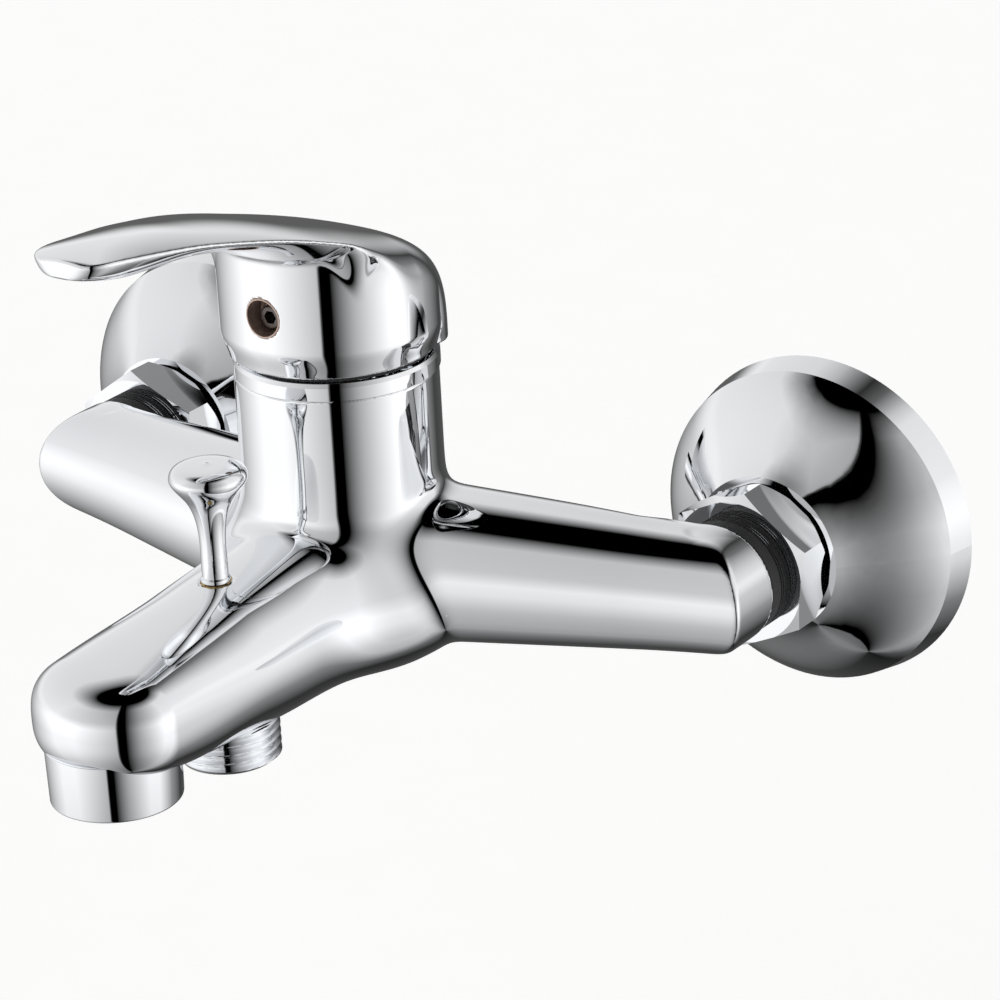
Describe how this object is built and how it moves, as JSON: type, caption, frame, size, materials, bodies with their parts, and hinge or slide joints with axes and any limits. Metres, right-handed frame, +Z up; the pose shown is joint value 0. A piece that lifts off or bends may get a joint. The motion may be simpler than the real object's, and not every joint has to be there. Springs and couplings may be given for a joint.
{
  "type": "wall mounted bath mixer",
  "caption": "Wall mounted single lever bath and shower mixer with cast arms, oval spout, pull diverter, shower outlet and round wall plates.",
  "frame": {"origin": "on the wall face, midway between the two inlets, at the height of the inlet axes", "axes": "+Z up, +X to the right of someone facing the wall, +Y into the wall; the spout points along -Y"},
  "size_m": [0.218, 0.1703, 0.122],
  "materials": {
    "chrome": "polished chrome plating",
    "brass": "machined brass",
    "plastic": "moulded acetal",
    "black_rubber": "EPDM rubber",
    "ceramic": "lapped ceramic",
    "steel": "stainless steel",
    "socket_steel": "dark hardened steel"
  },
  "bodies": {
    "mixer": {"aerator_collar": "chrome", "aerator_gasket": "black_rubber", "aerator_insert": "plastic", "aerator_screen": "steel", "cartridge_base": "plastic", "cartridge_base_seals": "black_rubber", "cartridge_housing": "plastic", "cartridge_nut": "brass", "cover_ring": "chrome", "diverter_bush_seal": "black_rubber", "diverter_guide_bush": "brass", "diverter_spring": "steel", "fixed_ceramic_disc": "ceramic", "left_escutcheon": "chrome", "left_filter_screen": "steel", "left_inlet_spigot": "brass", "left_s_union": "chrome", "left_sealing_washer": "black_rubber", "mixer_body": "chrome", "right_escutcheon": "chrome", "right_filter_screen": "steel", "right_inlet_spigot": "brass", "right_s_union": "chrome", "right_sealing_washer": "black_rubber", "shower_outlet_nipple": "chrome", "shower_outlet_seal": "black_rubber"},
    "temperature_swivel": {"stem_guide": "plastic", "stem_guide_seal": "black_rubber", "stem_pivot_pin": "steel"},
    "lever": {"handle": "chrome", "handle_grub_screw": "socket_steel", "cartridge_stem": "brass"},
    "disc_slider": {"moving_ceramic_disc": "ceramic", "disc_carrier": "plastic"},
    "diverter": {"diverter_knob": "chrome", "diverter_stem": "steel", "diverter_piston": "plastic", "diverter_bottom_seal": "black_rubber", "diverter_top_seal": "black_rubber"},
    "left_nut": {"left_union_nut": "chrome"},
    "right_nut": {"right_union_nut": "chrome"}
  },
  "joints": [
    {"name": "temperature_turn", "type": "hinge", "parent": "mixer", "child": "temperature_swivel", "pos_m": [0, -0.0605, 0.034], "axis": [0, 0, 1], "range_deg": [-45, 45]},
    {"name": "flow_lift", "type": "hinge", "parent": "temperature_swivel", "child": "lever", "pos_m": [0, -0.0605, 0.034], "axis": [-1, 0, 0], "range_deg": [0, 25]},
    {"name": "disc_slide", "type": "slide", "parent": "temperature_swivel", "child": "disc_slider", "axis": [0, -1, 0], "range_m": [0, 0.0032]},
    {"name": "diverter_pull", "type": "slide", "parent": "mixer", "child": "diverter", "axis": [0, 0, 1], "range_m": [0, 0.008], "stiffness_N_per_m": 60, "springref_m": -0.004, "deforming": ["diverter_spring"]},
    {"name": "left_nut_turn", "type": "hinge", "parent": "mixer", "child": "left_nut", "pos_m": [-0.075, -0.03, 0], "axis": [0, 1, 0], "continuous": true},
    {"name": "right_nut_turn", "type": "hinge", "parent": "mixer", "child": "right_nut", "pos_m": [0.075, -0.03, 0], "axis": [0, 1, 0], "continuous": true}
  ],
  "couplings": [
    {"joint": "disc_slide", "follows": "flow_lift", "m_per_rad": 0.0072}
  ]
}
